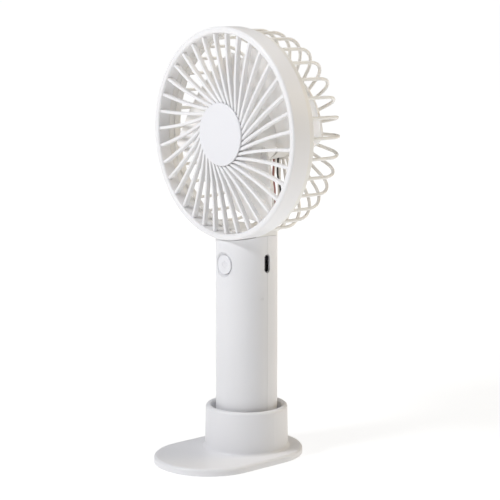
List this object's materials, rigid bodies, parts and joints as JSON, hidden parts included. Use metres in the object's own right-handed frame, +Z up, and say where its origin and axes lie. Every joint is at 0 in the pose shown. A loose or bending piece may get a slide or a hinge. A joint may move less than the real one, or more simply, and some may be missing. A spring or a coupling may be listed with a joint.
{
  "type": "handheld electric fan",
  "caption": "White handheld fan with a curved-rib front grille, open rod cage, round grip with push button and charging port, standing in an oval desk stand.",
  "frame": {"origin": "on the handle's axis, in the plane that the stand rests on", "axes": "+Z up along the handle, -Y the way the fan faces and blows, +X the side with the charging port"},
  "size_m": [0.103, 0.0802, 0.2128],
  "materials": {
    "shell_white": "satin moulded ABS",
    "cover_white": "satin moulded ABS",
    "cage_white": "satin moulded ABS, slightly warmer",
    "stand_white": "satin moulded ABS",
    "cap_white": "smooth semi-gloss ABS",
    "impeller_white": "smooth moulded ABS",
    "pad_rubber": "matt anti-slip rubber",
    "foam": "foam",
    "steel": "zinc plated",
    "nickel": "nickel plated",
    "magnet": "sintered ferrite",
    "lamination": "stacked laminations",
    "copper": "enamelled copper",
    "bronze": "sintered bronze",
    "motor_plastic": "nylon",
    "board": "solder mask",
    "black_plastic": "matt",
    "led": "clear epoxy",
    "light_pipe": "frosted",
    "cell": "shrink sleeve",
    "wire_red": "PVC insulation",
    "wire_black": "PVC insulation"
  },
  "bodies": {
    "stand": {"stand_base": "stand_white", "stand_pad": "pad_rubber"},
    "handle": {"handle_front_shell": "shell_white", "handle_rear_shell": "shell_white", "handle_bottom_cap": "shell_white", "handle_screws": "steel", "front_cover": "cover_white", "front_grille": "cover_white", "front_hub_cap": "cap_white", "rear_flange": "cage_white", "cage_side_rods": "cage_white", "cage_bends": "cage_white", "cage_back_rods": "cage_white", "motor_mount": "cage_white", "motor_can": "nickel", "motor_end_cap": "motor_plastic", "motor_magnets": "magnet", "motor_front_bush": "bronze", "motor_rear_bush": "bronze", "motor_brushes": "bronze", "motor_lead_red": "wire_red", "motor_lead_black": "wire_black", "switch_body": "black_plastic", "circuit_board": "board", "board_chips": "black_plastic", "usb_c_shell": "steel", "usb_c_tongue": "black_plastic", "charge_led": "led", "light_pipe": "light_pipe", "battery_cell": "cell", "battery_tabs": "nickel", "battery_cushion": "foam", "battery_lead_red": "wire_red", "battery_lead_black": "wire_black"},
    "impeller": {"impeller": "impeller_white", "motor_shaft": "steel", "armature_core": "lamination", "armature_windings": "copper", "commutator": "copper"},
    "button": {"button_cap": "cap_white", "switch_plunger": "black_plastic"}
  },
  "joints": [
    {"name": "handle_lift", "type": "slide", "parent": "stand", "child": "handle", "axis": [0, 0, 1], "range_m": [0, 0.03]},
    {"name": "impeller_spin", "type": "hinge", "parent": "handle", "child": "impeller", "pos_m": [0, 0, 0.1613], "axis": [0, 1, 0], "continuous": true},
    {"name": "power_button", "type": "slide", "parent": "handle", "child": "button", "axis": [0, 1, 0], "range_m": [0, 0.0006], "stiffness_N_per_m": 2000, "springref_m": -0.0003}
  ]
}
